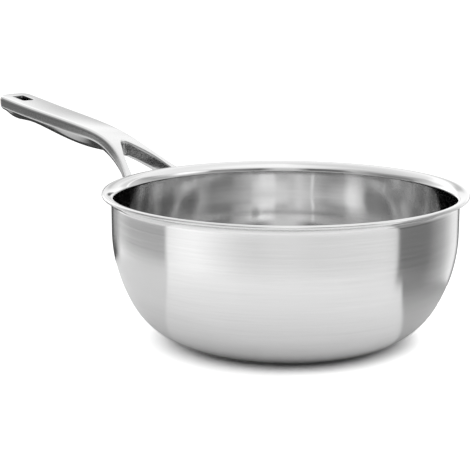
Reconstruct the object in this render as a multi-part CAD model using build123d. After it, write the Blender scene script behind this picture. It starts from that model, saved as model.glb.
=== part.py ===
import os
from math import asin, cos, degrees, radians, sin

from build123d import *

# A 24 cm saucier: a spun bowl of bonded three-layer sheet and a cast, forked handle welded to it.
# Millimetres. The flat base rests on z = 0, the bowl turns about Z and the handle points along +X.
# Heights called rise are measured up from the top of the lip, and places called out are measured
# from the outside of the upright wall along the handle, so the handle follows the bowl.

# Bowl sheet
steel_thickness = 0.5        # each of the two steel layers
core_thickness = 1.6         # aluminium between them
mouth_radius = 120.0         # inside of the upright wall, the nominal 24 cm
bowl_height = 107.0          # table to the top of the lip
side_radius = 105.0          # outside of the gentle curve below the upright wall
side_turn = 29.5             # degrees that the gentle curve turns through
knuckle_radius = 55.0        # outside of the tighter curve into the flat base
flare_radius = 7.5           # inside face of the pouring flare
lip_reach = 1.8              # flat end of the flare, beyond its curve
sealed_edge = 1.6            # rim width where steel meets steel beyond the core

# Handle stations from the tip to the wall: place, top, depth of the bar below the top and half width
tip_out = 197.5
tip_rise = 44.2
tip_depth = 11.4
tip_half_width = 15.5
eye_out = 172.0              # inner end of the hanging slot
eye_rise = 40.1
eye_depth = 11.0
grip_out = 139.5
grip_rise = 35.2
grip_depth = 11.6
grip_half_width = 15.2
rest_out = 88.0              # finger rest, the deepest place
rest_rise = 27.5
rest_depth = 12.8
rest_half_width = 13.8
throat_out = 55.0            # where the forefinger tucks in ahead of the fork
throat_rise = 19.0
throat_depth = 12.6
throat_half_width = 14.3
fork_out = 34.5
fork_rise = 8.6
fork_depth = 13.4
fork_half_width = 19.2
arm_out = 4.5
arm_rise = -11.2
arm_depth = 13.0
arm_half_width = 35.8

# Round belly under the grip, turned about a line inside it: depths below the top, and of that line
belly_tip_inset = 9.0        # tip of the handle to the end of its full depth
belly_end_inset = 2.0        # tip of the handle to its end
belly_tip_depth = 16.3
belly_eye_depth = 17.3
belly_grip_depth = 17.6
belly_rest_depth = 19.3
belly_root = 1.5             # how far the belly starts inside the bar
belly_line_at_eye = 0.2
belly_line_at_rest = 7.0

# Handle ends
tip_slope = 0.13             # rise for each unit out at the tip
tip_corner_radius = 7.0
tip_bulge = 1.5              # how far the end bows past its corners
arm_slope = 0.64             # fall of the arms towards the wall
arm_spread_slope = 0.66      # how fast the arms part there
arm_inside = 16.0            # the rough arms run this far inside the wall line before they are trimmed

# Gap between the arms of the fork
root_out = 51.4
root_radius = 4.4
root_spread = 32.0           # degrees between the handle's axis and the gap's side at its root
arm_width_at_fork = 6.0
arm_width_at_wall = 8.2

# Edges of the casting
shoulder_radius = 2.1
gap_edge_radius = 0.8
lower_bevel = 3.0
slot_edge_radius = 0.6

# Hanging slot
slot_length = 16.6
slot_width = 11.0
slot_corner_radius = 1.5
slot_inset = 8.6             # tip of the handle to the slot

# Feet that the arms end in, curved to the wall
foot_width = 18.0
foot_height = 25.0
foot_thickness = 3.6
foot_corner_radius = 5.0
foot_edge_radius = 1.2
foot_drop = 27.0             # lip to the middle of a foot

# Weld nuggets between each foot and the wall, two across and two up
weld_gap = 0.3
weld_radius = 2.5
weld_pitch_across = 8.0
weld_pitch_up = 12.0

# Cutting tools run past what they cut by the overrun; edges are picked by place to within the match
overrun = 6.0
match = 0.3

# Worked out from the sizes above
wall_thickness = 2 * steel_thickness + core_thickness
wall_radius = mouth_radius + wall_thickness
flare_foot = bowl_height - flare_radius
flare_centre = mouth_radius + flare_radius
lip_radius = flare_centre + lip_reach
base_radius = (
    wall_radius
    - side_radius * (1 - cos(radians(side_turn)))
    - knuckle_radius * cos(radians(side_turn))
)
side_top = knuckle_radius + (side_radius - knuckle_radius) * sin(radians(side_turn))
foot_middle = bowl_height - foot_drop
foot_offset = arm_half_width - arm_width_at_wall / 2 + arm_out * arm_spread_slope
foot_angle = degrees(asin(foot_offset / wall_radius))
tip_x = wall_radius + tip_out
slot_x = tip_x - slot_inset - slot_length / 2
root_x = wall_radius + root_out
rough_end_x = wall_radius - arm_inside
end_run = arm_out + arm_inside


def sheet_line(depth):
    """The bowl's line at a depth under its outside face, from the axis to the end of the flare's curve."""
    knuckle = (base_radius, knuckle_radius)
    side = (wall_radius - side_radius, side_top)
    flare = (flare_centre, flare_foot)
    knuckle_r = knuckle_radius - depth
    side_r = side_radius - depth
    flare_r = flare_radius - wall_thickness + depth
    floor = Line((0, depth), (base_radius, depth))
    turn_in = CenterArc(knuckle, knuckle_r, -90, 90 - side_turn)
    turn_up = CenterArc(side, side_r, -side_turn, side_turn)
    wall = Line((wall_radius - depth, side_top), (wall_radius - depth, flare_foot))
    turn_out = CenterArc(flare, flare_r, 180, -90)
    return [floor, turn_in, turn_up, wall, turn_out]


def flare_top(depth):
    return flare_foot + flare_radius - wall_thickness + depth


def revolved(edges):
    """Spin a closed outline, drawn as radius and height, about Z."""
    face = Plane.XZ * make_face(edges)
    return revolve(face, Axis.Z, 360)


def outer_steel():
    middle = flare_top(wall_thickness / 2)
    inner = flare_top(steel_thickness)
    under = flare_top(0)
    nose = wall_thickness / 2
    core_end = lip_radius - sealed_edge
    end = [
        Line((flare_centre, under), (lip_radius - nose, under)),
        CenterArc((lip_radius - nose, middle), nose, -90, 90),
        Line((lip_radius, middle), (core_end, middle)),
        Line((core_end, middle), (core_end, inner)),
        Line((core_end, inner), (flare_centre, inner)),
    ]
    close = Line((0, 0), (0, steel_thickness))
    return revolved(sheet_line(0) + end + sheet_line(steel_thickness) + [close])


def aluminium_core():
    low = steel_thickness
    high = steel_thickness + core_thickness
    core_end = lip_radius - sealed_edge
    end = [
        Line((flare_centre, flare_top(low)), (core_end, flare_top(low))),
        Line((core_end, flare_top(low)), (core_end, flare_top(high))),
        Line((core_end, flare_top(high)), (flare_centre, flare_top(high))),
    ]
    close = Line((0, low), (0, high))
    return revolved(sheet_line(low) + end + sheet_line(high) + [close])


def inner_steel():
    low = steel_thickness + core_thickness
    middle = flare_top(wall_thickness / 2)
    top = flare_top(wall_thickness)
    nose = wall_thickness / 2
    core_end = lip_radius - sealed_edge
    end = [
        Line((flare_centre, top), (lip_radius - nose, top)),
        CenterArc((lip_radius - nose, middle), nose, 0, 90),
        Line((lip_radius, middle), (core_end, middle)),
        Line((core_end, middle), (core_end, flare_top(low))),
        Line((core_end, flare_top(low)), (flare_centre, flare_top(low))),
    ]
    close = Line((0, low), (0, wall_thickness))
    return revolved(sheet_line(low) + end + sheet_line(wall_thickness) + [close])


def bowl_block(growth):
    """The bowl filled in up to the flare and grown outwards, to shape what sits on its wall."""
    edges = sheet_line(-growth)[:4]
    top = Line((wall_radius + growth, flare_foot), (0, flare_foot))
    close = Line((0, flare_foot), (0, -growth))
    return revolved(edges + [top, close])


def side_line(lift):
    """The handle's line from the side, past the tip to the rough end, at a lift above the bar's underside.

    The lift is a function of the bar's depth."""
    run = overrun + tip_bulge
    stations = [
        (tip_out + run, tip_rise + run * tip_slope, tip_depth),
        (tip_out, tip_rise, tip_depth),
        (eye_out, eye_rise, eye_depth),
        (grip_out, grip_rise, grip_depth),
        (rest_out, rest_rise, rest_depth),
        (throat_out, throat_rise, throat_depth),
        (fork_out, fork_rise, fork_depth),
        (arm_out, arm_rise, arm_depth),
        (-arm_inside, arm_rise - end_run * arm_slope, arm_depth),
    ]
    return [(wall_radius + out, bowl_height + rise - depth + lift(depth)) for out, rise, depth in stations]


def plate(upper, lower):
    """What lies between two lines seen from the side, wider than both arms."""
    edges = [Spline(*upper), Line(upper[-1], lower[-1]), Spline(*lower), Line(lower[0], upper[0])]
    half = arm_half_width + end_run + overrun
    return extrude(Plane.XZ.offset(-half) * make_face(edges), amount=2 * half)


def side_view():
    return plate(side_line(lambda depth: depth), side_line(lambda depth: 0))


def flank(side):
    """One outer edge of the casting seen from above, tip first."""
    return [
        (tip_x - tip_bulge, side * tip_half_width),
        (wall_radius + grip_out, side * grip_half_width),
        (wall_radius + rest_out, side * rest_half_width),
        (wall_radius + throat_out, side * throat_half_width),
        (wall_radius + fork_out, side * fork_half_width),
        (wall_radius + arm_out, side * arm_half_width),
        (rough_end_x, side * (arm_half_width + end_run * arm_spread_slope)),
    ]


def gap_side(side):
    """One side of the gap seen from above, from its rounded root to the rough end of the arm."""
    centre = root_x - root_radius
    spread = radians(root_spread)
    wall_width = arm_half_width - arm_width_at_wall
    return [
        (centre + root_radius * sin(spread), side * root_radius * cos(spread)),
        (wall_radius + fork_out, side * (fork_half_width - arm_width_at_fork)),
        (wall_radius + arm_out, side * wall_width),
        (rough_end_x, side * (wall_width + end_run * arm_spread_slope)),
    ]


def top_view():
    """The casting's forked outline from above, cut through from the table up."""
    left, right = flank(1), flank(-1)
    left_gap, right_gap = gap_side(1), gap_side(-1)
    spread = radians(root_spread)
    leave = (-cos(spread), sin(spread))
    arrive = (cos(spread), sin(spread))
    end_way = (-1, arm_spread_slope)
    back_way = (1, arm_spread_slope)
    edges = [
        ThreePointArc(right[0], (tip_x, 0), left[0]),
        Spline(*left),
        Line(left[-1], left_gap[-1]),
        Spline(*left_gap, tangents=[leave, end_way]),
        ThreePointArc(left_gap[0], (root_x, 0), right_gap[0]),
        Spline(*reversed(right_gap), tangents=[back_way, arrive]),
        Line(right_gap[-1], right[-1]),
        Spline(*right),
    ]
    outline = make_face(edges)
    corners = outline.vertices().sort_by(Axis.X)[-2:]
    outline = fillet(corners, tip_corner_radius)
    return extrude(outline, amount=bowl_height + tip_rise + overrun)


def broad_face(solid, way):
    """The largest face that looks up (way 1) or down (way -1)."""
    facing = [face for face in solid.faces() if way * face.normal_at().Z > 0.5]
    return sorted(facing, key=lambda face: face.area)[-1]


def rim_edges(face):
    """Edges round the outside of the handle, tip and both flanks."""
    return [edge for edge in face.edges() if (edge @ 0.5).X > root_x + match]


def gap_edges(face):
    """Edges round the gap of the fork, without the rough ends of the arms."""
    return [edge for edge in face.edges() if rough_end_x + match < (edge @ 0.5).X < root_x + match]


def forked_bar():
    """Grip and arms with rounded shoulders, bevelled lower edges and a softened gap."""
    bar = top_view() & side_view()
    bar = fillet(rim_edges(broad_face(bar, 1)), shoulder_radius)
    bar = fillet(gap_edges(broad_face(bar, 1)), gap_edge_radius)
    bar = chamfer(rim_edges(broad_face(bar, -1)), lower_bevel)
    return fillet(gap_edges(broad_face(bar, -1)), gap_edge_radius)


def slot_edges(face):
    """Edges round the hanging slot."""
    near = slot_length / 2 + match
    beside = slot_width / 2 + match
    return [
        edge for edge in face.edges()
        if abs((edge @ 0.5).X - slot_x) < near and abs((edge @ 0.5).Y) < beside
    ]


def belly():
    """The round underside of the grip with its finger rest, spun about a line that lies inside the grip."""
    top = bowl_height + rest_rise
    rise_to_eye = eye_rise - belly_line_at_eye - rest_rise + belly_line_at_rest
    slope = rise_to_eye / (eye_out - rest_out)

    def line_at(out):
        return top - belly_line_at_rest + (out - rest_out) * slope

    end_out = tip_out - belly_end_inset
    turn_out = tip_out - belly_tip_inset
    under = [
        (throat_out, throat_rise - throat_depth + belly_root / 2),
        (rest_out, rest_rise - belly_rest_depth),
        (grip_out, grip_rise - belly_grip_depth),
        (eye_out, eye_rise - belly_eye_depth),
        (turn_out, tip_rise - belly_tip_inset * tip_slope - belly_tip_depth),
        (end_out, tip_rise - belly_end_inset * tip_slope - tip_depth + belly_root / 2),
    ]
    under = [(wall_radius + out, bowl_height + rise) for out, rise in under]
    first = (wall_radius + throat_out, line_at(throat_out))
    last = (wall_radius + end_out, line_at(end_out))
    profile = make_face([Spline(*under), Line(under[-1], last), Line(last, first), Line(first, under[0])])
    spindle = revolve(Plane.XZ * profile, Axis((first[0], 0, first[1]), (1, 0, slope)), 360)
    deepest = belly_rest_depth + overrun
    return spindle & plate(side_line(lambda depth: belly_root), side_line(lambda depth: -deepest))


def with_hanging_slot(bar):
    cutter = extrude(
        Pos(slot_x, 0) * RectangleRounded(slot_length, slot_width, slot_corner_radius),
        amount=bowl_height + tip_rise + overrun,
    )
    bar = bar - cutter
    for way in (1, -1):
        bar = fillet(slot_edges(broad_face(bar, way)), slot_edge_radius)
    return bar


def foot_planes():
    """A plane facing straight out of the wall at the middle of each foot."""
    planes = []
    for side in (1, -1):
        angle = radians(side * foot_angle)
        out = (cos(angle), sin(angle), 0)
        along = (-sin(angle), cos(angle), 0)
        planes.append(Plane(origin=(0, 0, foot_middle), x_dir=along, z_dir=out))
    return planes


def foot(plane, skin):
    """A pad that bulges with the wall outside, left long inside until the casting is trimmed."""
    blank = Pos(0, 0, wall_radius - arm_inside) * RectangleRounded(foot_width, foot_height, foot_corner_radius)
    pad = extrude(plane * blank, amount=arm_inside + foot_thickness + overrun) & skin
    proud = wall_radius + weld_gap + foot_thickness / 2
    outer = []
    for edge in pad.edges():
        middle = edge @ 0.5
        off_axis = (middle.X**2 + middle.Y**2) ** 0.5
        if off_axis > proud and abs(middle.Z - side_top) > match:
            outer.append(edge)
    return fillet(outer, foot_edge_radius)


def cast_handle():
    """The casting on its two feet, trimmed so that arms and feet follow the wall."""
    casting = with_hanging_slot(forked_bar() + belly())
    skin = bowl_block(weld_gap + foot_thickness)
    for plane in foot_planes():
        casting = casting + foot(plane, skin)
    return casting - bowl_block(weld_gap)


def handle_welds():
    """Nuggets that fill the narrow space between the feet and the wall."""
    space = bowl_block(weld_gap) - bowl_block(0)
    nuggets = []
    for plane in foot_planes():
        for across in (-weld_pitch_across / 2, weld_pitch_across / 2):
            for up in (-weld_pitch_up / 2, weld_pitch_up / 2):
                rod = extrude(
                    plane * Pos(across, up) * Circle(weld_radius),
                    amount=wall_radius + foot_thickness,
                )
                nuggets += (rod & space).solids()
    return Compound(label="handle_welds", children=nuggets)


def build():
    return {
        "inner_steel_layer": inner_steel(),
        "aluminium_core": aluminium_core(),
        "outer_steel_layer": outer_steel(),
        "cast_handle": cast_handle(),
        "handle_welds": handle_welds(),
    }


os.makedirs("parts", exist_ok=True)
for node, shape in build().items():
    export_step(shape, f"parts/{node}.step")
    print(node, round(shape.volume), "cubic millimetres")
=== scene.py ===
# A 24 cm saucier on a white studio floor: spun, brushed bowl of bonded sheet and a cast, forked handle.
# Metres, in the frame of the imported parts: base on z = 0, bowl about Z, handle along +X.
from math import asin, atan2, cos, inf, pi, radians, sin, sqrt

import bmesh
import bpy
import numpy as np
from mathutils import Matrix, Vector


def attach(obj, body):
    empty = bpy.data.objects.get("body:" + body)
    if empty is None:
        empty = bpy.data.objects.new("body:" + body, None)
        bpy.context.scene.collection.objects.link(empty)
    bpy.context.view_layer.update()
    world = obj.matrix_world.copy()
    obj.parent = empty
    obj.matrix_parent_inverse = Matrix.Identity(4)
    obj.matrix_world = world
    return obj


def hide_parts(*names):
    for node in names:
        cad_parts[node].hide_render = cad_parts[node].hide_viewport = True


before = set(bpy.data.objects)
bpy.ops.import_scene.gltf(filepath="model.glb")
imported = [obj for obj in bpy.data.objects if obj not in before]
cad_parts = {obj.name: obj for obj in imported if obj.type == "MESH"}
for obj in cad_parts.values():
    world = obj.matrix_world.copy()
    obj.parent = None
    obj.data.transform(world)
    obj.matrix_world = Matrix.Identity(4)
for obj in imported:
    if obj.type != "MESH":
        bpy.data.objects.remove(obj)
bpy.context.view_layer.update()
scene = bpy.context.scene
scene.view_settings.view_transform = "Standard"
scene.view_settings.look = "None"
mergeDistance = 1e-6
print("frame loaded:", sorted(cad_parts))


# Helpers for objects and nodes
def linkedObject(name, data):
    thing = bpy.data.objects.new(name, data)
    scene.collection.objects.link(thing)
    return thing


def meshObject(name, bm):
    mesh = bpy.data.meshes.new(name)
    bm.to_mesh(mesh)
    bm.free()
    for face in mesh.polygons:
        face.use_smooth = True
    return linkedObject(name, mesh)


# Camera
camera = {
    "place": (-0.6124, 0.6801, 0.2723),
    "heading": radians(-45.79),  # across the bowl, with the handle going away to the left
    "pitch": radians(-12.255),
    "lens": 100.4,
    "sensor": 36.0,
    "sight": 20,
}
cameraBearing = atan2(camera["place"][1], camera["place"][0])


def makeCamera():
    data = bpy.data.cameras.new("camera")
    data.lens = camera["lens"]
    data.sensor_width = camera["sensor"]
    data.clip_end = camera["sight"]
    looker = linkedObject("camera", data)
    looker.location = camera["place"]
    flat = cos(camera["pitch"])
    ahead = Vector((cos(camera["heading"]) * flat, sin(camera["heading"]) * flat, sin(camera["pitch"])))
    looker.rotation_euler = ahead.to_track_quat("-Z", "Y").to_euler()
    scene.camera = looker


makeCamera()
print("camera made")

# Studio: light levels round the pan by bearing from the camera in degrees, left negative. A pair of close
# bearings is the edge of a card. Each ring reaches from its elevation up to the next one's.
frontRun = (  # a bright card at the left, a plain front, then a dark gap and a second card at the right
    (-80.5, 1.27), (-70, 1.4), (-59, 1.45), (-48, 1.32), (-37, 1.16), (-27, 1.02), (-17, 0.96), (66, 0.97),
    (76.5, 0.92), (79, 0.14), (106, 0.18), (125, 0.5), (141, 0.94),
)
studio = {
    "rings": (
        # lowest elevation, half its soft edge, then bearing and level
        (-90, 1, ((-180, 0.08), (-124, 0.1), (-106, 0.95), (170, 0.95), (180, 0.08))),
        (-38.5, 2, (
            (-180, 0.04), (-136, 0.05), (-126, 0.72), (-100, 0.85), (-60, 1.1), (-20, 1), (66, 1),
            (78.5, 0.96), (81.5, 0.38), (105, 0.32), (130, 0.62), (150, 0.85), (165, 0.2), (180, 0.05),
        )),
        (-20, 2, (
            (-180, 0.05), (-150, 0.05), (-138, 1.2), (-118, 1.02), (-104, 0.96), (-83, 0.88), *frontRun,
            (153, 1.1), (163, 0.1), (180, 0.05),
        )),
        (-12.7, 0.6, (
            (-180, 0.06), (-157, 0.08), (-149, 0.5), (-136, 0.5), (-118, 0.2), (-83, 0.15), *frontRun,
            (153, 1), (161, 0.1), (180, 0.06),
        )),
        (-3, 1.5, (
            (-180, 1.15), (-170, 1.15), (-160, 1.8), (-145, 2), (-133, 1.5), (-123, 1.05), (-111, 0.75),
            (-100, 0.35), (-75, 0.3), (-60, 0.6), (60, 0.6), (98, 0.6), (122, 0.75), (130, 0.9), (142, 1.2),
            (155, 1.4), (168, 1.3), (180, 1.15),
        )),
        (5.5, 1.5, (
            (-180, 1.15), (-170, 1.15), (-160, 1.75), (-145, 1.9), (-133, 1.4), (-123, 1), (-111, 0.72),
            (-100, 0.36), (-75, 0.3), (-53, 0.55), (-41, 0.26), (-18, 0.2), (-7, 0.75), (7, 0.75),
            (18, 0.22), (35, 0.31), (50, 0.45), (67, 0.65), (98, 0.6), (122, 0.75), (130, 0.85), (137, 0.9),
            (140, 1.6), (143, 1), (155, 1.4), (168, 1.3), (180, 1.15),
        )),
        (12, 3, (
            (-180, 0.7), (-169, 0.75), (-163, 1.45), (-149, 1.55), (-136, 1.1), (-123, 0.85), (-111, 0.64),
            (-100, 0.3), (-75, 0.28), (-53, 0.6), (-41, 0.22), (-18, 0.2), (-7, 0.75), (7, 0.75), (18, 0.22),
            (40, 0.4), (55, 0.42), (62, 0.7), (75, 1.15), (84, 1.15), (94, 0.6), (107, 0.48), (122, 0.7),
            (131, 0.85), (137, 0.85), (140, 1.6), (143, 0.95), (150, 0.95), (160, 1.3), (173, 1), (180, 0.7),
        )),
        (21.5, 5, (
            (-180, 1.25), (-170, 1.4), (-163, 1.65), (-149, 1.6), (-136, 1.3), (-128, 0.8), (-109, 0.55),
            (-95, 0.5), (-67, 0.45), (-52, 0.7), (-45, 0.35), (-36, 0.2), (-18, 0.2), (-7, 0.8), (7, 0.8),
            (18, 0.2), (36, 0.34), (55, 0.34), (58, 0.5), (62, 1.2), (75, 1.7), (84, 1.7), (94, 1),
            (108, 0.75), (119, 0.5), (126, 0.55), (137, 0.8), (140, 1.5), (143, 0.9), (158, 1.2),
            (170, 0.95), (180, 1.25),
        )),
        (33, 4, (
            (-180, 1.3), (-100, 0.9), (-70, 0.72), (-45, 0.8), (-10, 1.2), (50, 1.05), (100, 1.15),
            (180, 1.3),
        )),
        (47, 5, ((-180, 1.15), (-100, 0.95), (-60, 1.05), (0, 1.4), (60, 1.35), (100, 1.2), (180, 1.15))),
    ),
    "top": 2.0,   # what a ramp's full level stands for
    "seen": 1.2,  # what the camera sees round the pan
}


def addNode(tree, kind, **settings):
    node = tree.nodes.new(kind)
    for name, value in settings.items():
        setattr(node, name, value)
    return node


def feed(tree, sockets, values):
    # each value is another node's output or a plain number
    for socket, value in zip(sockets, values):
        if isinstance(value, bpy.types.NodeSocket):
            tree.links.new(value, socket)
        else:
            socket.default_value = value


def mathNode(tree, operation, *inputs):
    node = addNode(tree, "ShaderNodeMath", operation=operation)
    feed(tree, node.inputs, inputs)
    return node.outputs[0]


def separated(tree, vector):
    node = addNode(tree, "ShaderNodeSeparateXYZ")
    tree.links.new(vector, node.inputs[0])
    return list(node.outputs)


def lengthOf(tree, vector):
    node = addNode(tree, "ShaderNodeVectorMath", operation="LENGTH")
    tree.links.new(vector, node.inputs[0])
    return node.outputs["Value"]


def smoothStep(tree, value, low, high):
    node = addNode(tree, "ShaderNodeMapRange", interpolation_type="SMOOTHSTEP")
    feed(tree, node.inputs, (value, low, high))
    return node.outputs["Result"]


def blendNumber(tree, share, first, second):
    node = addNode(tree, "ShaderNodeMix", data_type="FLOAT")
    feed(tree, (node.inputs[0], node.inputs[2], node.inputs[3]), (share, first, second))
    return node.outputs[0]


def ringLevel(tree, turn, stops):
    # the light level round one ring, read from a ramp over the bearing
    ramp = addNode(tree, "ShaderNodeValToRGB")
    tree.links.new(turn, ramp.inputs["Fac"])
    marks = ramp.color_ramp.elements
    for bearing, level in stops[1:-1]:
        marks.new((bearing + 180) / 360)
    for mark, (bearing, level) in zip(marks, stops):
        mark.position = (bearing + 180) / 360
        mark.color = (level / studio["top"],) * 3 + (1,)
    return mathNode(tree, "MULTIPLY", ramp.outputs["Color"], studio["top"])


def makeWorld():
    world = bpy.data.worlds.new("studio")
    scene.world = world
    world.use_nodes = True
    tree = world.node_tree
    tree.nodes.clear()
    x, y, z = separated(tree, addNode(tree, "ShaderNodeTexCoord").outputs["Generated"])
    bearing = mathNode(tree, "ARCTAN2", y, x)
    away = mathNode(tree, "WRAP", mathNode(tree, "SUBTRACT", bearing, cameraBearing), pi, -pi)
    turn = mathNode(tree, "MULTIPLY_ADD", away, 1 / (2 * pi), 0.5)
    elevation = mathNode(tree, "ARCSINE", z)
    level = None
    for lowest, edge, stops in studio["rings"]:
        ring = ringLevel(tree, turn, stops)
        inside = smoothStep(tree, elevation, radians(lowest - edge), radians(lowest + edge))
        level = ring if level is None else blendNumber(tree, inside, level, ring)
    seen = addNode(tree, "ShaderNodeLightPath")
    level = blendNumber(tree, seen.outputs["Is Camera Ray"], level, studio["seen"])
    glow = addNode(tree, "ShaderNodeBackground")
    glow.inputs["Color"].default_value = (1, 1, 1, 1)
    tree.links.new(level, glow.inputs["Strength"])
    out = addNode(tree, "ShaderNodeOutputWorld")
    tree.links.new(glow.outputs[0], out.inputs[0])


makeWorld()

paper = {
    "radius": 0.26,
    "segments": 96,
    "centre": (0.02, 0.06),     # to the left in the camera's view, so the right card reflects lower down
    "lightShare": 1.12,         # the paper's tone for the steel
    "seenShare": 2.05,          # and for the camera
    "contact": (0.066, 0.094),  # the paper darkens towards the pan's base between these radii
    "shadow": (0.060, 0.098),   # the same for what the camera sees
    "shadowMove": 0.008,        # how far that one lies to the right
    # shades that only the steel sees, right (1) and left (-1): the light left near the pan and further out
    "shades": ((1, 0.66, 0.1), (-1, 0.86, 0.8)),
    "shadeRadii": (0.10, 0.26),
    "shadeCorner": (0.154, 0.085),  # to the side of the pan's middle and towards the camera
    "shadeTurns": (72, 60),         # bearings of the two edges that meet there
    "shadeEdge": 0.005,             # half the width of such an edge
    "shadeStart": 0.06,             # from the pan's middle to here, to the side, a shade sets in
}


def alongBearing(tree, place, bearing):
    # how far a place lies from the pan's middle towards a bearing
    x, y, z = place
    return mathNode(tree, "MULTIPLY_ADD", x, cos(bearing), mathNode(tree, "MULTIPLY", y, sin(bearing)))


def paperShadow(tree, place, cameraRay):
    # the pan's own shadow, which the camera sees wider, softer and a little to the right
    contact = smoothStep(tree, lengthOf(tree, place), *paper["contact"])
    moved = addNode(tree, "ShaderNodeVectorMath", operation="ADD")
    toTheRight = Vector((-sin(cameraBearing), cos(cameraBearing), 0))
    feed(tree, moved.inputs, (place, -toTheRight * paper["shadowMove"]))
    shadow = smoothStep(tree, lengthOf(tree, moved.outputs[0]), *paper["shadow"])
    return blendNumber(tree, cameraRay, contact, mathNode(tree, "SQRT", shadow))


def paperShade(tree, place, way, near, far):
    # a shade to one side of the pan, behind two straight edges that meet at its corner
    parts = separated(tree, place)
    aside = alongBearing(tree, parts, cameraBearing + way * pi / 2)
    ahead = alongBearing(tree, parts, cameraBearing)
    besideCorner = mathNode(tree, "SUBTRACT", aside, paper["shadeCorner"][0])
    beforeCorner = mathNode(tree, "SUBTRACT", ahead, paper["shadeCorner"][1])
    inside = smoothStep(tree, aside, 0.0, paper["shadeStart"])
    for turn in paper["shadeTurns"]:
        beside = mathNode(tree, "MULTIPLY", besideCorner, cos(radians(turn)))
        before = mathNode(tree, "MULTIPLY", beforeCorner, sin(radians(turn)))
        past = mathNode(tree, "SUBTRACT", beside, before)
        edge = smoothStep(tree, past, -paper["shadeEdge"], paper["shadeEdge"])
        inside = mathNode(tree, "MULTIPLY", inside, edge)
    away = smoothStep(tree, lengthOf(tree, place), *paper["shadeRadii"])
    return blendNumber(tree, inside, 1.0, blendNumber(tree, away, near, far))


def makeFloor():
    bm = bmesh.new()
    made = bmesh.ops.create_circle(bm, cap_ends=True, segments=paper["segments"], radius=paper["radius"])
    bmesh.ops.translate(bm, verts=made["verts"], vec=(*paper["centre"], 0))
    floor = meshObject("floor", bm)
    paint = bpy.data.materials.new("floorPaper")
    paint.use_nodes = True
    tree = paint.node_tree
    tree.nodes.clear()
    cameraRay = addNode(tree, "ShaderNodeLightPath").outputs["Is Camera Ray"]
    place = addNode(tree, "ShaderNodeTexCoord").outputs["Object"]
    tone = blendNumber(tree, cameraRay, paper["lightShare"], paper["seenShare"])
    tone = mathNode(tree, "MULTIPLY", tone, paperShadow(tree, place, cameraRay))
    for way, near, far in paper["shades"]:
        shade = blendNumber(tree, cameraRay, paperShade(tree, place, way, near, far), 1.0)
        tone = mathNode(tree, "MULTIPLY", tone, shade)
    body = addNode(tree, "ShaderNodeBsdfDiffuse")
    tree.links.new(tone, body.inputs["Color"])
    out = addNode(tree, "ShaderNodeOutputMaterial")
    tree.links.new(body.outputs[0], out.inputs["Surface"])
    floor.data.materials.append(paint)


makeFloor()
print("studio made")

# Bowl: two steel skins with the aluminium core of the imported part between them
bowl = {
    "steel": 0.0005,
    "core": 0.0016,
    "mouthRadius": 0.120,
    "height": 0.107,
    "sideRadius": 0.105,        # the long lower curve of the wall, outside
    "sideTurn": radians(29.5),  # how far round it goes
    "knuckleRadius": 0.055,     # the tighter curve on into the base, outside
    "flareRadius": 0.0075,      # inside
    "lipReach": 0.0018,         # the lip's width beyond the flare
    "sealedEdge": 0.0016,       # width in which the two steels meet
    "spinSteps": 256,
    "sheetSteps": (6, 20, 16, 6, 14),  # base, knuckle, side, straight wall, flare
    "noseSteps": 8,
}
bowl["wall"] = 2 * bowl["steel"] + bowl["core"]
bowl["wallRadius"] = bowl["mouthRadius"] + bowl["wall"]
bowl["flareFoot"] = bowl["height"] - bowl["flareRadius"]
bowl["flareCentre"] = bowl["mouthRadius"] + bowl["flareRadius"]
bowl["lipRadius"] = bowl["flareCentre"] + bowl["lipReach"]
bowl["sideCentre"] = bowl["wallRadius"] - bowl["sideRadius"]
bowl["sideReach"] = bowl["sideRadius"] - bowl["knuckleRadius"]  # from the side's centre to the knuckle's
bowl["baseRadius"] = bowl["sideCentre"] + bowl["sideReach"] * cos(bowl["sideTurn"])
bowl["sideTop"] = bowl["knuckleRadius"] + bowl["sideReach"] * sin(bowl["sideTurn"])


def lineTo(bm, vertex, radius, height, steps=1):
    start = vertex.co.copy()
    end = Vector((radius, 0, height))
    for step in range(1, steps + 1):
        made = bmesh.ops.extrude_vert_indiv(bm, verts=[vertex])["verts"][0]
        made.co = start.lerp(end, step / steps)
        vertex = made
    return vertex


def arcTo(bm, vertex, centre, turn, steps):
    # a positive turn is anticlockwise seen from the front, with the radius to the right
    made = bmesh.ops.spin(
        bm, geom=[vertex], cent=(centre[0], 0, centre[1]), axis=(0, -1, 0), angle=turn, steps=steps
    )["geom_last"]
    return [part for part in made if isinstance(part, bmesh.types.BMVert)][0]


def sheetLine(bm, vertex, depth):
    # from the axis at this depth under the outside face, up to the end of the flare's curve
    turn = bowl["sideTurn"]
    base, knuckle, side, wall, flare = bowl["sheetSteps"]
    vertex = lineTo(bm, vertex, bowl["baseRadius"], depth, base)
    vertex = arcTo(bm, vertex, (bowl["baseRadius"], bowl["knuckleRadius"]), pi / 2 - turn, knuckle)
    vertex = arcTo(bm, vertex, (bowl["sideCentre"], bowl["sideTop"]), turn, side)
    vertex = lineTo(bm, vertex, bowl["wallRadius"] - depth, bowl["flareFoot"], wall)
    return arcTo(bm, vertex, (bowl["flareCentre"], bowl["flareFoot"]), -pi / 2, flare)


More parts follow.
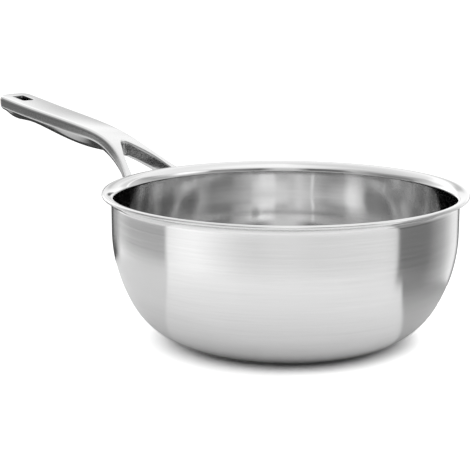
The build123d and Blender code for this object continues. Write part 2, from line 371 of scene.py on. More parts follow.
def spunSkin(name, nearDepth, farDepth, noseTurn):
    # near is the face that shows, far the one bonded to the core; they meet in half the lip's round nose
    bm = bmesh.new()
    nose = bowl["wall"] / 2
    noseRadius = bowl["lipRadius"] - nose
    flareTop = bowl["flareFoot"] + bowl["flareRadius"] - bowl["wall"]
    first = bmesh.ops.create_vert(bm, co=(0, 0, nearDepth))["vert"][0]
    end = sheetLine(bm, first, nearDepth)
    end = lineTo(bm, end, noseRadius, flareTop + nearDepth)
    end = arcTo(bm, end, (noseRadius, flareTop + nose), noseTurn, bowl["noseSteps"])
    seal = bowl["lipRadius"] - bowl["sealedEdge"]
    end = lineTo(bm, end, seal, flareTop + nose)
    end = lineTo(bm, end, seal, flareTop + farDepth)
    last = bmesh.ops.create_vert(bm, co=(0, 0, farDepth))["vert"][0]
    farEnd = sheetLine(bm, last, farDepth)
    bm.edges.new((end, farEnd))
    bmesh.ops.spin(
        bm, geom=bm.verts[:] + bm.edges[:], cent=(0, 0, 0), axis=(0, 0, 1), angle=2 * pi,
        steps=bowl["spinSteps"], use_merge=True
    )
    bmesh.ops.remove_doubles(bm, verts=bm.verts, dist=mergeDistance)
    bmesh.ops.recalc_face_normals(bm, faces=bm.faces)
    skin = meshObject(name, bm)
    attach(skin, "root")
    return skin


def makeBowl():
    steel, wall = bowl["steel"], bowl["wall"]
    outside = spunSkin("outsideSteel", 0.0, steel, pi / 2)
    inside = spunSkin("insideSteel", wall, wall - steel, -pi / 2)
    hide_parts("outer_steel_layer")
    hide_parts("inner_steel_layer")
    return outside, inside


outsideSteel, insideSteel = makeBowl()
print("bowl made:", len(outsideSteel.data.polygons), len(insideSteel.data.polygons), "faces")


# Handle: one casting. Half of it is drawn from the tip to the wall as rows that run round the section,
# from the inner edge of the top (slot, axis or gap) over the flank to the inner edge of the underside.
handle = {
    # out from the wall, top above the lip, depth of the bar; the first and last lie past what is kept
    "stations": (
        (0.2050, 0.0451, 0.0114),
        (0.1975, 0.04413, 0.0114),
        (0.1720, 0.0401, 0.0110),
        (0.1395, 0.0352, 0.0116),
        (0.0880, 0.0275, 0.0128),
        (0.0550, 0.0190, 0.0126),
        (0.0345, 0.0086, 0.0134),
        (0.0045, -0.0112, 0.0130),
        (-0.0160, -0.0243, 0.0130),
    ),
    # out from the wall and half width, from the corners of the tip to the wall
    "flank": (
        (0.1960, 0.0155),
        (0.1395, 0.0152),
        (0.0880, 0.0138),
        (0.0550, 0.0143),
        (0.0345, 0.0192),
        (0.0045, 0.0358),
        (-0.0160, 0.0493),
    ),
    "tipOut": 0.1975,
    "tipHalf": 0.0155,
    "tipBulge": 0.0015,        # how far the end bows out
    "tipTaper": -0.05,         # slope of the flank where the tip's corner starts
    "tipCorner": 0.007,
    "crown": 0.00034,          # fall of the top from the middle line to the flank
    "crownFade": (0.4, 0.2),   # taken off its share towards the wall, and the least that stays
    "shoulder": 0.0021,        # round edge between the top and the flank
    "draft": 0.0003,           # lean of the flank
    # out from the wall, depth of the facet's upper edge, inset of its lower edge
    "facet": (
        (0.2050, 0.0088, 0.0022),
        (0.1880, 0.0088, 0.0022),
        (0.1650, 0.0090, 0.0022),
        (0.1395, 0.0090, 0.0022),
        (0.1180, 0.0091, 0.0026),
        (0.1000, 0.0090, 0.0038),
        (0.0820, 0.0081, 0.0043),
        (0.0690, 0.0077, 0.0036),
        (0.0550, 0.0085, 0.0022),
        (0.0345, 0.0098, 0.0020),
        (-0.0160, 0.0098, 0.0020),
    ),
    "facetRound": 0.0011,
    "underShare": 0.2,         # how far in the underside is read for the round at the facet's lower edge
    # round underside of the grip: out from the wall, depth of its lowest line
    "belly": (
        (0.1955, 0.0107),
        (0.1885, 0.0163),
        (0.1720, 0.0173),
        (0.1395, 0.0176),
        (0.0880, 0.0193),
        (0.0550, 0.0119),
    ),
    "bellyLine": ((0.1720, 0.0002), (0.0880, 0.0070)),  # two places of the line that it is turned about
    "bellyBlend": 0.0004,
    "slotLength": 0.0166,
    "slotHalf": 0.0055,
    "slotCorner": 0.0015,
    "slotInset": 0.0086,
    "slotRound": 0.0006,
    "rootOut": 0.0514,
    "rootRadius": 0.0044,
    "rootSpread": radians(32),
    "gapRound": 0.0008,
    "armAtFork": 0.006,
    "armAtWall": 0.0082,
    "armSpread": 0.66,
    "endShare": 0.8,           # share of the bowed tip that runs beside the slot's end
    "rootLead": 0.001,         # where the gap's root starts, the flank is this much nearer to the wall
    "rootBeside": 0.010,       # length of flank beside the root
    "armLag": 0.004,           # where the gap's side ends, the flank is this much farther from the wall
    "columns": (4, 4, 8, 4, 4, 56, 8, 30),  # slot end, corner, side, corner, end; grip; gap's root; arm
    "topRows": 8,
    "shoulderRows": 7,
    "flankRows": 4,
    "cornerRows": 4,
    "facetRows": 2,
    "bellyRows": 10,
    "wallRows": 5,
    "cornerPasses": 12,
}

foot = {
    "width": 0.018,
    "height": 0.025,
    "thickness": 0.0036,
    "corner": 0.005,
    "edge": 0.0012,
    "gap": 0.0003,
    "drop": 0.027,             # from the lip to the pad's middle
    "flare": 0.0030,
    "flareRoom": 1.2,          # edge widths that the flare leaves free round it
    "flareSteps": 6,
    "edgeSteps": 4,
    "backShares": (0.7, 0.35),
    "rimPasses": 24,
}
armOut, armHalf = handle["flank"][-2]
footOffset = armHalf - handle["armAtWall"] / 2 + armOut * handle["armSpread"]
foot["angle"] = asin(footOffset / bowl["wallRadius"])
foot["middle"] = bowl["height"] - foot["drop"]


def smoothThrough(places, values, slopes=None):
    # cubic spline as a function; natural ends unless the two end slopes are given
    order = np.argsort(places)
    x = np.array(places, float)[order]
    y = np.array(values, float)[order]
    gaps = np.diff(x)
    rises = np.diff(y) / gaps
    count = len(x)
    system = np.eye(count)
    right = np.zeros(count)
    for i in range(1, count - 1):
        system[i, i - 1 : i + 2] = gaps[i - 1], 2 * (gaps[i - 1] + gaps[i]), gaps[i]
        right[i] = 6 * (rises[i] - rises[i - 1])
    if slopes:
        system[0, :2] = 2 * gaps[0], gaps[0]
        right[0] = 6 * (rises[0] - slopes[0])
        system[-1, -2:] = gaps[-1], 2 * gaps[-1]
        right[-1] = 6 * (slopes[1] - rises[-1])
    bend = np.linalg.solve(system, right)

    def value(place):
        i = int(np.clip(np.searchsorted(x, place) - 1, 0, count - 2))
        before, after = place - x[i], x[i + 1] - place
        cubic = (bend[i] * after**3 + bend[i + 1] * before**3) / (6 * gaps[i])
        return cubic + (y[i] / gaps[i] - bend[i] * gaps[i] / 6) * after + (
            y[i + 1] / gaps[i] - bend[i + 1] * gaps[i] / 6
        ) * before

    return value


def along(rows, column):
    # one column of a table of places along the handle, as a smooth function of x
    return smoothThrough([bowl["wallRadius"] + row[0] for row in rows], [row[column] for row in rows])


def gapCurve():
    # the side of the gap from the round root to the rough end, as y over x
    spread = handle["rootSpread"]
    centre = bowl["wallRadius"] + handle["rootOut"] - handle["rootRadius"]
    fork, arm, end = handle["flank"][-3:]
    armInner = arm[1] - handle["armAtWall"]
    armEnd = armInner + (arm[0] - end[0]) * handle["armSpread"]
    startX, startY = centre + handle["rootRadius"] * sin(spread), handle["rootRadius"] * cos(spread)
    x = [startX] + [bowl["wallRadius"] + out for out, half in (fork, arm, end)]
    y = [startY, fork[1] - handle["armAtFork"], armInner, armEnd]
    slopes = (-handle["armSpread"], -sin(spread) / cos(spread))
    return smoothThrough(x, y, slopes), x[0], x[-1], centre


def handleCurves():
    lip, wall = bowl["height"], bowl["wallRadius"]
    rise = along(handle["stations"], 1)
    depth = along([(out, top - depth) for out, top, depth in handle["stations"]], 1)
    swell = along([(out, rise(wall + out) - deep) for out, deep in handle["belly"]], 1)
    (farOut, farDeep), (nearOut, nearDeep) = handle["bellyLine"]
    farRise, nearRise = rise(wall + farOut) - farDeep, rise(wall + nearOut) - nearDeep
    gap, gapStart, gapEnd, rootCentre = gapCurve()
    ends = (-handle["armSpread"], handle["tipTaper"])
    halves = [(wall + out, half) for out, half in handle["flank"]]
    return {
        "top": lambda x: lip + rise(x),
        "flat": lambda x: lip + depth(x),
        "swell": lambda x: lip + swell(x),
        "line": lambda x: lip + nearRise + (x - wall - nearOut) * (farRise - nearRise) / (farOut - nearOut),
        "flank": smoothThrough([x for x, half in halves], [half for x, half in halves], slopes=ends),
        "facetTop": along(handle["facet"], 1),
        "inset": along(handle["facet"], 2),
        "gap": gap,
        "gapStart": gapStart,
        "gapEnd": gapEnd,
        "rootCentre": rootCentre,
    }


def slopeOf(curve, place, step=1e-5):
    return (curve(place + step) - curve(place - step)) / (2 * step)


def tipCorner(flank):
    # centre of the round corner between the bowed end and the flank, and the two angles it spans
    radius = handle["tipCorner"]
    tip = bowl["wallRadius"] + handle["tipOut"]
    half = handle["tipHalf"]
    x, y = tip - radius, half - radius
    for _ in range(handle["cornerPasses"]):
        bow = 2 * handle["tipBulge"] * y / half**2
        start = atan2(bow, 1)
        end = pi / 2 + atan2(slopeOf(flank, x), 1)
        touch = y + radius * sin(start)
        x = tip - handle["tipBulge"] * (touch / half) ** 2 - radius * cos(start)
        y = flank(x + radius * cos(end)) - radius * sin(end)
    return x, y, start, end


def planOutline(curves):
    # the flank from above, by length from the middle of the tip: place and outward normal
    radius = handle["tipCorner"]
    tip = bowl["wallRadius"] + handle["tipOut"]
    half = handle["tipHalf"]
    centreX, centreY, start, end = tipCorner(curves["flank"])
    bowEnd = centreY + radius * sin(start)
    cornerEnd = bowEnd + radius * (end - start)
    flankStart = centreX + radius * cos(end)

    def at(length):
        if length < bowEnd:
            normal = Vector((1, 2 * handle["tipBulge"] * length / half**2)).normalized()
            return Vector((tip - handle["tipBulge"] * (length / half) ** 2, length)), normal
        if length < cornerEnd:
            angle = start + (length - bowEnd) / radius
            normal = Vector((cos(angle), sin(angle)))
            return Vector((centreX, centreY)) + radius * normal, normal
        x = flankStart - (length - cornerEnd)
        return Vector((x, curves["flank"](x))), Vector((-slopeOf(curves["flank"], x), 1)).normalized()

    return at, bowEnd, cornerEnd, flankStart


def spaced(first, last, count):
    # evenly spaced, without the last
    return [first + (last - first) * i / count for i in range(count)]


def quarterTurns(count):
    return [pi / 2 * i / count for i in range(count + 1)]


def roundEdge(x, y, radius, first, last, count, rim):
    # part of a round of the inner edge, with its normals towards the round's centre
    turns = spaced(first, last, count)
    return [((x + radius * cos(a), y + radius * sin(a)), (-cos(a), -sin(a)), rim) for a in turns]


def innerEdge(curves):
    # from the slot's outer end to the end of the gap's root: place, normal into the opening, size of its rim
    size = handle
    near = bowl["wallRadius"] + size["tipOut"] - size["slotInset"]
    far = near - size["slotLength"]
    half, corner, rim = size["slotHalf"], size["slotCorner"], size["slotRound"]
    end, turn, side, farTurn, farEnd, grip, root = size["columns"][:-1]
    edge = [((near, y), (-1, 0), rim) for y in spaced(0, half - corner, end)]
    edge += roundEdge(near - corner, half - corner, corner, 0, pi / 2, turn, rim)
    edge += [((x, half), (0, -1), rim) for x in spaced(near - corner, far + corner, side)]
    edge += roundEdge(far + corner, half - corner, corner, pi / 2, pi, farTurn, rim)
    edge += [((far, y), (1, 0), rim) for y in spaced(half - corner, 0, farEnd)]
    edge.append(((far, 0), (1, 0), rim))
    rootX = bowl["wallRadius"] + size["rootOut"] + size["gapRound"]
    edge += [((x, 0), (0, 0), 0) for x in spaced(far - rim, rootX, grip)[1:]]
    centre, radius, last = curves["rootCentre"], size["rootRadius"], pi / 2 - size["rootSpread"]
    return edge + roundEdge(centre, 0, radius, 0, last, root, size["gapRound"])


def armEdge(curves, share):
    # the gap's side at a share of the way from the root to the rough end
    x = curves["gapStart"] + (curves["gapEnd"] - curves["gapStart"]) * share
    normal = Vector((slopeOf(curves["gap"], x), -1)).normalized()
    return (x, curves["gap"](x)), normal, handle["gapRound"]


def rounded(before, corner, after, setback, steps):
    # a corner of the section as a short curve
    before, corner, after = Vector(before), Vector(corner), Vector(after)
    start = corner + (before - corner).normalized() * setback
    end = corner + (after - corner).normalized() * setback
    points = []
    for i in range(steps + 1):
        t = i / steps
        points.append(start * (1 - t) ** 2 + corner * 2 * t * (1 - t) + end * t**2)
    return points


def topAt(curves, flat):
    # height of the slightly crowned top
    share = min(1, abs(flat.y) / curves["flank"](flat.x))
    less, least = handle["crownFade"]
    fade = min(1, max(least, (flat.x - bowl["wallRadius"]) / handle["rootOut"] - less))
    return curves["top"](flat.x) - handle["crown"] * fade * share**2


def underAt(curves, flat):
    # height of the bar's flat underside, or of the round belly where that hangs lower, blended softly
    bar = curves["flat"](flat.x)
    first, last = handle["belly"][-1][0], handle["belly"][0][0]
    if not first < flat.x - bowl["wallRadius"] < last:
        return bar
    line = curves["line"](flat.x)
    radius = line - curves["swell"](flat.x)
    if radius <= abs(flat.y):
        return bar
    drop = bar - line + sqrt(radius**2 - flat.y**2)
    return bar - (drop + sqrt(drop**2 + handle["bellyBlend"] ** 2)) / 2


def sectionRows(curves, inner, normal, rim, outer, outward):
    # one row of places round the section, from the top's inner edge to the underside's
    size = handle
    inner = Vector(inner) - Vector(normal) * rim
    shoulder = size["shoulder"]
    start = outer - outward * shoulder
    rows = []
    for i in range(size["topRows"]):
        flat = inner.lerp(start, i / size["topRows"])
        rows.append((*flat, topAt(curves, flat)))
    for turn in quarterTurns(size["shoulderRows"]):
        flat = outer - outward * shoulder * (1 - sin(turn))
        rows.append((*flat, topAt(curves, flat) - shoulder * (1 - cos(turn))))
    crest, inset = topAt(curves, outer), curves["inset"](outer.x)
    lowEdge = outer - outward * inset
    beyond = lowEdge.lerp(inner, size["underShare"])
    # the flank, the facet and the start of the underside: inwards from the outline, and height
    high = (0, crest - shoulder)
    upper = (size["draft"], crest - curves["facetTop"](outer.x))
    lower = (inset, underAt(curves, lowEdge))
    after = (inset + (beyond - lowEdge).length, underAt(curves, beyond))
    side = rounded(high, upper, lower, size["facetRound"] / 2, size["cornerRows"])
    under = rounded(upper, lower, after, size["facetRound"] / 2, size["cornerRows"])
    section = [Vector(high).lerp(side[0], i / size["flankRows"]) for i in range(1, size["flankRows"])]
    section += side
    section += [side[-1].lerp(under[0], i / size["facetRows"]) for i in range(1, size["facetRows"])]
    section += under
    rows += [(*(outer - outward * step), height) for step, height in section]
    last = Vector(rows[-1][:2])
    for i in range(1, size["bellyRows"] + 1):
        flat = last.lerp(inner, i / size["bellyRows"])
        rows.append((*flat, underAt(curves, flat)))
    return rows


def rimRows(curves, inner, normal, rim):
    # down the wall of the slot or the gap, with a rounded edge above and below
    inner, normal = Vector(inner), Vector(normal)
    turns, steps = quarterTurns(handle["cornerRows"]), handle["wallRows"]
    rows = []
    for turn in turns:
        flat = inner - normal * rim * (1 - sin(turn))
        rows.append((*flat, topAt(curves, flat) - rim * (1 - cos(turn))))
    high, low = rows[-1][2], underAt(curves, inner) + rim
    rows += [(*inner, high + (low - high) * i / steps) for i in range(1, steps)]
    for turn in turns:
        flat = inner - normal * rim * (1 - cos(turn))
        rows.append((*flat, underAt(curves, flat) + rim * (1 - sin(turn))))
    return rows


def wallAt(z, out):
    # radius of the bowl's outside at a height, moved out
    below = bowl["sideTop"] - z
    if below <= 0:
        return bowl["wallRadius"] + out
    return bowl["sideCentre"] + sqrt((bowl["sideRadius"] + out) ** 2 - below**2)


def columnAt(curves, edge, outline):
    # the places at one station, round the section and down the wall of the slot or the gap
    inner, normal, rim = edge
    return sectionRows(curves, inner, normal, rim, *outline), rimRows(curves, inner, normal, rim)


def mappedGrid(bm, columns, places):
    # a flat grid whose vertices are moved to places[column][row]
    rows = len(places[0]) - 1
    made = bmesh.ops.create_grid(bm, x_segments=columns, y_segments=rows, size=1)["verts"]
    for vertex in made:
        column = round((vertex.co.x + 1) / 2 * columns)
        row = round((vertex.co.y + 1) / 2 * rows)
        vertex.co = places[column][row]


def gripColumns(curves, outlineAt, bowEnd, cornerEnd, gripEnd, rootEnd):
    # rows from the tip to the end of the gap's root; lengths keep the outline in step with the inner edge
    end, turn, side, farTurn, farEnd, grip, root = handle["columns"][:-1]
    tipEnd, midCorner = handle["endShare"] * bowEnd, (bowEnd + cornerEnd) / 2
    besideSlot = cornerEnd + handle["slotLength"] - handle["slotCorner"]
    afterTurn, afterSlot = besideSlot + 2 * handle["slotCorner"], besideSlot + 4 * handle["slotCorner"]
    stretches = (
        (0, tipEnd, end),
        (tipEnd, midCorner, turn),
        (midCorner, besideSlot, side),
        (besideSlot, afterTurn, farTurn),
        (afterTurn, afterSlot, farEnd),
        (afterSlot, gripEnd, grip),
        (gripEnd, rootEnd, root),
    )
    lengths = [length for stretch in stretches for length in spaced(*stretch)]
    return [columnAt(curves, edge, outlineAt(length)) for edge, length in zip(innerEdge(curves), lengths)]


def armColumns(curves, outlineAt, first, last):
    # rows along the arm, the last of them where it meets the flare of the foot
    count = handle["columns"][-1]
    reach = foot["gap"] + foot["thickness"] + foot["flare"]
    made = []
    for i in range(count + 1):
        outline = outlineAt(first + (last - first) * i / count)
        made.append(columnAt(curves, armEdge(curves, i / count), outline))

    def clearance(place):
        return sqrt(place[0] ** 2 + place[1] ** 2) - wallAt(place[2], reach)

    def blocked(column):
        return any(clearance(place) <= 0 for rows in column for place in rows)

    keep = next(i for i, column in enumerate(made) if blocked(column)) - 1
    ending = []
    for part in (0, 1):
        stops = []
        for row in range(len(made[0][part])):
            i = keep
            while i < count - 1 and clearance(made[i + 1][part][row]) > 0:
                i += 1
            near, far = made[i][part][row], made[i + 1][part][row]
            a, b = clearance(near), clearance(far)
            stops.append(tuple(Vector(near).lerp(Vector(far), a / (a - b))))
        ending.append(stops)
    return made[: keep + 1] + [tuple(ending)]


def padEdge(centre, way):
    # distance from a place on the pad to its round-cornered rim, in one direction
    halfWidth, halfHeight, corner = foot["width"] / 2, foot["height"] / 2, foot["corner"]
    low, high = 0.0, foot["height"]
    for _ in range(foot["rimPasses"]):
        middle = (low + high) / 2
        across = max(abs(centre[0] + way[0] * middle) - halfWidth + corner, 0)
        up = max(abs(centre[1] + way[1] * middle) - halfHeight + corner, 0)
        low, high = (middle, high) if sqrt(across**2 + up**2) < corner else (low, middle)
    return low


def padPlace(across, up, out):
    # a place on the pad, measured round the wall from its middle, as x, y, z
    z = foot["middle"] + up
    angle = foot["angle"] + across / bowl["wallRadius"]
    radius = wallAt(z, out)
    return Vector((radius * cos(angle), radius * sin(angle), z))


def footSteps():
    # from the arm's end over the flare and the pad's face and edge to its back: how far each ring may spread
    # from the arm, the share of the way to the pad's rim, its inset from there and how far out it lies
    flare, edge, gap = foot["flare"], foot["edge"], foot["gap"]
    face = gap + foot["thickness"]
    steps = []
    for turn in quarterTurns(foot["flareSteps"])[1:]:
        steps.append((flare * (1 - cos(turn)), 1, edge * foot["flareRoom"], face + flare * (1 - sin(turn))))
    steps.append((inf, 1, edge, face))
    for turn in quarterTurns(foot["edgeSteps"])[1:]:
        steps.append((inf, 1, edge * (1 - sin(turn)), face - edge * (1 - cos(turn))))
    return steps + [(inf, share, 0, gap) for share in (1, *foot["backShares"])]


def addFoot(bm):
    # flare the arm's open end onto a pad that follows the wall, and close the pad's back
    halfSlot = handle["slotHalf"]
    ring = [e for e in bm.edges if len(e.link_faces) == 1 and min(v.co.y for v in e.verts) > halfSlot]
    spots = {}
    for vertex in {v for e in ring for v in e.verts}:
        angle = atan2(vertex.co.y, vertex.co.x) - foot["angle"]
        spots[vertex] = Vector((angle * bowl["wallRadius"], vertex.co.z - foot["middle"]))
    centre = sum(spots.values(), Vector((0, 0))) / len(spots)
    paths = {}
    for vertex, spot in spots.items():
        way = (spot - centre).normalized()
        paths[vertex] = way, (spot - centre).length, padEdge(centre, way)
    for spread, share, inset, out in footSteps():
        made = bmesh.ops.extrude_edge_only(bm, edges=ring)["geom"]
        follow = {}
        for vertex in [part for part in made if isinstance(part, bmesh.types.BMVert)]:
            for link in vertex.link_edges:
                other = link.other_vert(vertex)
                if other in paths:
                    follow[vertex] = paths[other]
        for vertex, (way, reach, rim) in follow.items():
            spot = centre + way * min(reach + spread, rim * share - inset)
            vertex.co = padPlace(spot.x, spot.y, out)
        edges = [part for part in made if isinstance(part, bmesh.types.BMEdge)]
        ring = [edge for edge in edges if all(vertex in follow for vertex in edge.verts)]
        paths = follow
    bmesh.ops.contextual_create(bm, geom=ring)


def makeHandle():
    curves = handleCurves()
    outlineAt, bowEnd, cornerEnd, flankStart = planOutline(curves)
    flankLength = cornerEnd + flankStart
    gripEnd = flankLength - bowl["wallRadius"] - handle["rootOut"] + handle["rootLead"]
    rootEnd = gripEnd + handle["rootBeside"]
    columns = gripColumns(curves, outlineAt, bowEnd, cornerEnd, gripEnd, rootEnd)
    slotEnd = sum(handle["columns"][:5])
    rootStart = slotEnd + handle["columns"][5]
    columns += armColumns(curves, outlineAt, rootEnd, flankLength - curves["gapEnd"] - handle["armLag"])
    bm = bmesh.new()
    mappedGrid(bm, len(columns) - 1, [column[0] for column in columns])
    mappedGrid(bm, slotEnd, [column[1] for column in columns[: slotEnd + 1]])
    mappedGrid(bm, len(columns) - 1 - rootStart, [column[1] for column in columns[rootStart:]])
    bmesh.ops.remove_doubles(bm, verts=bm.verts, dist=mergeDistance)
    addFoot(bm)
    bmesh.ops.mirror(bm, geom=bm.verts[:] + bm.edges[:] + bm.faces[:], axis="Y", merge_dist=mergeDistance)
    bmesh.ops.remove_doubles(bm, verts=bm.verts, dist=mergeDistance)
    bmesh.ops.recalc_face_normals(bm, faces=bm.faces)
    casting = meshObject("castHandle", bm)
    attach(casting, "root")
    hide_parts("cast_handle")
    return casting


castHandle = makeHandle()
print("handle made:", len(castHandle.data.polygons), "faces")


# Finishes
def makeGroup(name, inputs):
    # an empty node group: name, kind and value of each input, and the three things that each grain puts out
    tree = bpy.data.node_groups.new(name, "ShaderNodeTree")
    for label, kind, value in inputs:
        socket = tree.interface.new_socket(label, in_out="INPUT", socket_type="NodeSocket" + kind)
        socket.default_value = value
    for label, kind in (("Color", "Color"), ("Roughness", "Float"), ("Height", "Float")):
        tree.interface.new_socket(label, in_out="OUTPUT", socket_type="NodeSocket" + kind)
    return tree, addNode(tree, "NodeGroupInput"), addNode(tree, "NodeGroupOutput")


def combined(tree, x, y, z):
    node = addNode(tree, "ShaderNodeCombineXYZ")
    feed(tree, node.inputs, (x, y, z))
    return node.outputs[0]


def noiseValue(tree, vector, scale, detail, roughness):
    node = addNode(tree, "ShaderNodeTexNoise")
    labels = ("Vector", "Scale", "Detail", "Roughness")
    feed(tree, [node.inputs[label] for label in labels], (vector, scale, detail, roughness))
    return node.outputs["Fac"]


def swing(tree, value, amount, rest=0.0):
    # a noise value turned into an amount either side of a rest value
    return mathNode(tree, "MULTIPLY_ADD", value, 2 * amount, rest - amount)


def swung(tree, rest, *noises):
    # a rest value moved both ways by noise values, each with its amount
    for value, amount in noises:
        rest = mathNode(tree, "ADD", rest, swing(tree, value, amount))
    return rest


def tinted(tree, colour, share):
    node = addNode(tree, "ShaderNodeVectorMath", operation="SCALE")
    feed(tree, (node.inputs[0], node.inputs["Scale"]), (colour, share))
    return node.outputs[0]


spun = {
    "turnStretch": 1.5,        # how often a brush line changes on its way round, low for long lines
    "lineTurn": 0.25,          # a quarter turn lays the shine's streaks across the lines
    "fineLines": 800,
    "broadLines": 60,
    "least": 0.001,            # radius within which the lines run together
    # noise: scale, detail, roughness
    "fine": (1, 6, 0.7),
    "broad": (1, 3, 0.5),
    "smudge": (22, 4, 0.6),
    "wall": (0.1003, 0.0985),  # heights between which the polished flare gives way to the brushed wall
    "foot": (0.003, 0.0006),   # heights where the outside is rubbed by hobs and shelves
    "fineShade": 0.12,
    "broadShade": 0.05,
    "rubbedShade": -0.12,
    "fineRoughness": 0.03,
    "smudgeRoughness": 0.012,
    "rubbedRoughness": 0.12,
    "rimShare": 0.3,           # share of the roughness's changes that the flare gets
}


def spunGroup():
    # brushed round the axis: lines that follow the sheet from the middle of the base to the lip
    tree, given, out = makeGroup("spunGrain", (
        ("Tint", "Color", (0.7, 0.7, 0.7, 1)),
        ("Wall Roughness", "Float", 0.2),
        ("Rim Roughness", "Float", 0.08),
    ))
    place = addNode(tree, "ShaderNodeTexCoord").outputs["Object"]
    x, y, z = separated(tree, place)
    squares = mathNode(tree, "ADD", mathNode(tree, "MULTIPLY", x, x), mathNode(tree, "MULTIPLY", y, y))
    radius = mathNode(tree, "MAXIMUM", mathNode(tree, "SQRT", squares), spun["least"])
    around = mathNode(tree, "MULTIPLY", mathNode(tree, "DIVIDE", x, radius), spun["turnStretch"])
    across = mathNode(tree, "MULTIPLY", mathNode(tree, "DIVIDE", y, radius), spun["turnStretch"])
    run = mathNode(tree, "ADD", radius, z)
    fineRun = mathNode(tree, "MULTIPLY", run, spun["fineLines"])
    broadRun = mathNode(tree, "MULTIPLY", run, spun["broadLines"])
    fine = noiseValue(tree, combined(tree, around, across, fineRun), *spun["fine"])
    broad = noiseValue(tree, combined(tree, around, across, broadRun), *spun["broad"])
    smudge = noiseValue(tree, place, *spun["smudge"])
    wall = smoothStep(tree, z, *spun["wall"])
    rubbed = smoothStep(tree, z, *spun["foot"])
    lines = swung(tree, 0.0, (fine, spun["fineShade"]), (broad, spun["broadShade"]))
    shade = mathNode(tree, "MULTIPLY_ADD", lines, wall, 1.0)
    shade = mathNode(tree, "MULTIPLY_ADD", rubbed, spun["rubbedShade"], shade)
    tree.links.new(tinted(tree, given.outputs["Tint"], shade), out.inputs["Color"])
    changes = swung(tree, 0.0, (fine, spun["fineRoughness"]), (smudge, spun["smudgeRoughness"]))
    level = blendNumber(tree, wall, given.outputs["Rim Roughness"], given.outputs["Wall Roughness"])
    rough = mathNode(tree, "MULTIPLY_ADD", changes, blendNumber(tree, wall, spun["rimShare"], 1.0), level)
    rough = mathNode(tree, "MULTIPLY_ADD", rubbed, spun["rubbedRoughness"], rough)
    tree.links.new(rough, out.inputs["Roughness"])
    tree.links.new(mathNode(tree, "MULTIPLY", fine, wall), out.inputs["Height"])
    return tree


cast = {
    "lines": (30, 900, 900),   # noise cells for each metre along, across and up
    # noise: scale, detail, roughness
    "fine": (1, 4, 0.6),
    "pits": (260, 4, 0.7),
    "smudge": (30, 4, 0.6),
    "under": (0.1, -0.35),     # how far a face looks up, from the polished top to the as-cast underside
    "inner": (-0.3, -0.7),     # how far a face looks away from the middle line, from the open faces to the inner walls, which get a painted shade
    "upright": (0.6, 0.3),     # how far a face looks up or down, from the slot's edges to its walls
    "slotFade": (0.001, 0.0005),  # along and across, where the painted shade on the slot's walls fades out
    "innerPatches": (0.5, 0.8),   # the smudges' part in the inner walls' painted shade, and its middle
    "fineShade": 0.05,
    "smudgeShade": 0.03,
    # painted shade on the walls that face the middle line
    "innerWallPaintedShade": -0.3,
    # painted shade on the slot's walls
    "slotPaintedShade": -0.55,
    "pitShade": (0.1, -0.08),     # the pits' part in the underside's shade, and its middle
    "fineRoughness": 0.03,
    "smudgeRoughness": 0.03,
    "underRoughness": 0.08,
}


def slotWalls(tree, x, y, lookingUp):
    # the upright walls of the hanging slot, which get a painted shade
    near = bowl["wallRadius"] + handle["tipOut"] - handle["slotInset"]
    far = near - handle["slotLength"]
    fadeAlong, fadeAcross = cast["slotFade"]
    beyond = smoothStep(tree, x, far - fadeAlong, far)
    walls = mathNode(tree, "MULTIPLY", beyond, smoothStep(tree, x, near + fadeAlong, near))
    wide = mathNode(tree, "ABSOLUTE", y)
    beside = smoothStep(tree, wide, handle["slotHalf"] + fadeAcross, handle["slotHalf"])
    walls = mathNode(tree, "MULTIPLY", walls, beside)
    upright = smoothStep(tree, mathNode(tree, "ABSOLUTE", lookingUp), *cast["upright"])
    return mathNode(tree, "MULTIPLY", walls, upright)


def castGroup():
    # satin lines along the handle, duller and faintly pitted where the polishing wheel doesn't reach, with
    # painted shade on the walls of the slot and of the fork's gap
    tree, given, out = makeGroup("castGrain", (
        ("Tint", "Color", (0.68, 0.68, 0.68, 1)),
        ("Satin Roughness", "Float", 0.14),
    ))
    place = addNode(tree, "ShaderNodeTexCoord").outputs["Object"]
    x, y, z = separated(tree, place)
    lines = [mathNode(tree, "MULTIPLY", part, cells) for part, cells in zip((x, y, z), cast["lines"])]
    fine = noiseValue(tree, combined(tree, *lines), *cast["fine"])
    pits = noiseValue(tree, place, *cast["pits"])
    smudge = noiseValue(tree, place, *cast["smudge"])
    facing = separated(tree, addNode(tree, "ShaderNodeNewGeometry").outputs["Normal"])
    under = smoothStep(tree, facing[2], *cast["under"])
    outwards = mathNode(tree, "MULTIPLY", facing[1], mathNode(tree, "SIGN", y))
    # painted shade on the walls that face the middle line: the sides of the slot and of the fork's gap
    inner = smoothStep(tree, outwards, *cast["inner"])
    inner = mathNode(tree, "MULTIPLY", inner, swing(tree, smudge, *cast["innerPatches"]))
    shade = swung(tree, 1.0, (fine, cast["fineShade"]), (smudge, cast["smudgeShade"]))
    shade = mathNode(tree, "MULTIPLY_ADD", inner, cast["innerWallPaintedShade"], shade)
    # painted shade on the slot's walls
    shade = mathNode(tree, "MULTIPLY_ADD", slotWalls(tree, x, y, facing[2]), cast["slotPaintedShade"], shade)
    pitShade = mathNode(tree, "MULTIPLY", under, swing(tree, pits, *cast["pitShade"]))
    shade = mathNode(tree, "ADD", shade, pitShade)
    tree.links.new(tinted(tree, given.outputs["Tint"], shade), out.inputs["Color"])
    rough = given.outputs["Satin Roughness"]
    rough = swung(tree, rough, (fine, cast["fineRoughness"]), (smudge, cast["smudgeRoughness"]))
    rough = mathNode(tree, "MULTIPLY_ADD", under, cast["underRoughness"], rough)
    tree.links.new(rough, out.inputs["Roughness"])
    tree.links.new(blendNumber(tree, under, fine, pits), out.inputs["Height"])
    return tree


dull = {
    # noise: scale, detail, roughness
    "grain": (900, 5, 0.6),
    "bloom": (240, 3, 0.5),
    "grainShade": 0.1,
    "bloomShade": 0.15,
    "grainRoughness": 0.08,
}


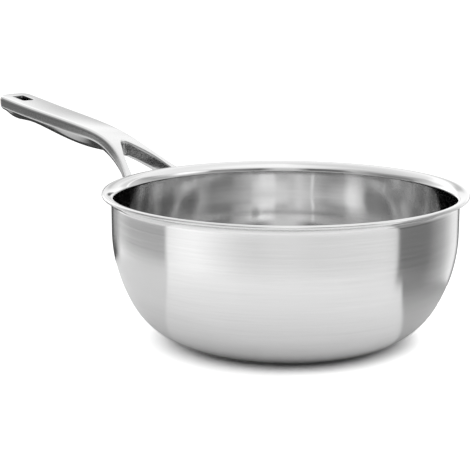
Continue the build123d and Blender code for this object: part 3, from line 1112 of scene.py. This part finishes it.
def dullGroup():
    # for what is hardly seen: weld nuggets and the sealed core
    tree, given, out = makeGroup("dullMetal", (
        ("Tint", "Color", (0.5, 0.5, 0.5, 1)),
        ("Matt Roughness", "Float", 0.45),
    ))
    place = addNode(tree, "ShaderNodeTexCoord").outputs["Object"]
    grain = noiseValue(tree, place, *dull["grain"])
    bloom = noiseValue(tree, place, *dull["bloom"])
    shade = swung(tree, 1.0, (grain, dull["grainShade"]), (bloom, dull["bloomShade"]))
    tree.links.new(tinted(tree, given.outputs["Tint"], shade), out.inputs["Color"])
    rough = swung(tree, given.outputs["Matt Roughness"], (grain, dull["grainRoughness"]))
    tree.links.new(rough, out.inputs["Roughness"])
    tree.links.new(grain, out.inputs["Height"])
    return tree


finishes = {
    # group, its numbers, depth of its grain in metres, share of stretch round the axis
    "brushedOutside": ("spunGrain", {"Tint": 0.72, "Wall Roughness": 0.17, "Rim Roughness": 0.07}, 3e-6, 1),
    "brushedInside": ("spunGrain", {"Tint": 0.68, "Wall Roughness": 0.07, "Rim Roughness": 0.06}, 2e-6, 1),
    "castSatin": ("castGrain", {"Tint": 0.70, "Satin Roughness": 0.105}, 8e-6, 0),
    "weldBead": ("dullMetal", {"Tint": 0.45, "Matt Roughness": 0.45}, 3e-5, 0),
    "coreMetal": ("dullMetal", {"Tint": 0.80, "Matt Roughness": 0.38}, 1e-5, 0),
}
groups = {tree.name: tree for tree in (spunGroup(), castGroup(), dullGroup())}


def makeFinish(name):
    group, numbers, depth, stretch = finishes[name]
    paint = bpy.data.materials.new(name)
    paint.use_nodes = True
    tree = paint.node_tree
    shader = tree.nodes["Principled BSDF"]
    shader.inputs["Metallic"].default_value = 1
    grain = addNode(tree, "ShaderNodeGroup", node_tree=groups[group])
    for label, value in numbers.items():
        grain.inputs[label].default_value = (value, value, value, 1) if label == "Tint" else value
    tree.links.new(grain.outputs["Color"], shader.inputs["Base Color"])
    tree.links.new(grain.outputs["Roughness"], shader.inputs["Roughness"])
    bump = addNode(tree, "ShaderNodeBump")
    bump.inputs["Strength"].default_value = 1
    bump.inputs["Distance"].default_value = depth
    tree.links.new(grain.outputs["Height"], bump.inputs["Height"])
    tree.links.new(bump.outputs[0], shader.inputs["Normal"])
    if stretch:
        shader.inputs["Anisotropic"].default_value = stretch
        shader.inputs["Anisotropic Rotation"].default_value = spun["lineTurn"]
        tangent = addNode(tree, "ShaderNodeTangent", direction_type="RADIAL", axis="Z")
        tree.links.new(tangent.outputs[0], shader.inputs["Tangent"])
    return paint


outsideSteel.data.materials.append(makeFinish("brushedOutside"))
insideSteel.data.materials.append(makeFinish("brushedInside"))
castHandle.data.materials.append(makeFinish("castSatin"))
for node, finish in (("handle_welds", "weldBead"), ("aluminium_core", "coreMetal")):
    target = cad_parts[node]
    target.data.materials.clear()
    target.data.materials.append(makeFinish(finish))
print("finishes made")
